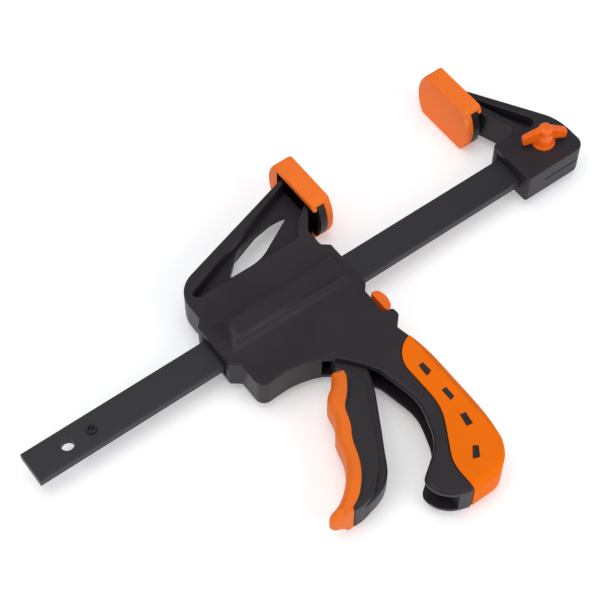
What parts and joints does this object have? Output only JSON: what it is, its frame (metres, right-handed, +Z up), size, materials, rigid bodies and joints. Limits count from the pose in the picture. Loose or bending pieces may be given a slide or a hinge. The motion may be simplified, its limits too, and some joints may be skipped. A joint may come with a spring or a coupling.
{
  "type": "quick release bar clamp",
  "caption": "Quick release bar clamp: moving jaw with handle and trigger on a flat steel bar, fixed jaw held by a wing screw, soft pads.",
  "frame": {"origin": "centre of the clamp's footprint, on the surface that it lies on", "axes": "+X along the bar from its tail to the fixed jaw, +Y towards the jaw tips, +Z up, square to the flat of the bar, wing knob on top"},
  "size_m": [0.322, 0.2016, 0.036],
  "materials": {
    "bar_steel": "blackened steel, satin, with fine rolled grain",
    "pin_steel": "bare rolled steel",
    "jaw_plastic": "satin moulded, finely textured",
    "pad_rubber": "soft, finely pitted",
    "knob_plastic": "glossy moulded",
    "screw_steel": "zinc plated",
    "grip_rubber": "soft moulded, matt",
    "trigger_plastic": "satin moulded",
    "plate_steel": "hardened, ground",
    "spring_steel": "drawn wire, oiled",
    "button_plastic": "satin moulded"
  },
  "bodies": {
    "bar": {"bar": "bar_steel", "bar_stop_pin": "pin_steel", "fixed_jaw": "jaw_plastic", "fixed_jaw_pad": "pad_rubber", "jaw_nut": "screw_steel"},
    "screw": {"wing_screw": "screw_steel"},
    "knob": {"wing_knob": "knob_plastic"},
    "jaw": {"jaw_body": "jaw_plastic", "moving_jaw_pad": "pad_rubber", "handle_grip": "grip_rubber", "trigger_pin": "pin_steel", "drive_spring": "spring_steel", "brake_spring": "spring_steel"},
    "trigger": {"trigger": "trigger_plastic", "trigger_grip": "grip_rubber"},
    "drive_plates": {"drive_plate_1": "plate_steel", "drive_plate_2": "plate_steel"},
    "brake": {"brake_plate": "plate_steel", "release_button": "button_plastic"}
  },
  "joints": [
    {"name": "jaw_slide", "type": "slide", "parent": "bar", "child": "jaw", "axis": [1, 0, 0], "range_m": [-0.064, 0.0855]},
    {"name": "trigger_pull", "type": "hinge", "parent": "jaw", "child": "trigger", "pos_m": [-0.011, 0.0015, 0.0147], "axis": [0, 0, 1], "range_deg": [0, 15], "stiffness_Nm_per_rad": 1.2, "springref_deg": -8.59},
    {"name": "drive_push", "type": "slide", "parent": "jaw", "child": "drive_plates", "axis": [-1, 0, 0], "range_m": [0, 0.0043], "deforming": ["drive_spring"]},
    {"name": "button_press", "type": "hinge", "parent": "jaw", "child": "brake", "pos_m": [0.0105, 0.0436, 0.0147], "axis": [0, 0, -1], "range_deg": [0, 5.5], "stiffness_Nm_per_rad": 1.5, "springref_deg": -5.73, "deforming": ["brake_spring"]},
    {"name": "screw_lift", "type": "slide", "parent": "bar", "child": "screw", "axis": [0, 0, 1], "range_m": [0, 0.002]},
    {"name": "knob_turn", "type": "hinge", "parent": "screw", "child": "knob", "pos_m": [0.1445, 0.03, 0.0147], "axis": [0, 0, 1], "range_deg": [0, 720]}
  ],
  "couplings": [
    {"joint": "drive_push", "follows": "trigger_pull", "m_per_rad": 0.016118},
    {"joint": "knob_turn", "follows": "screw_lift", "rad_per_m": 6283.2}
  ]
}
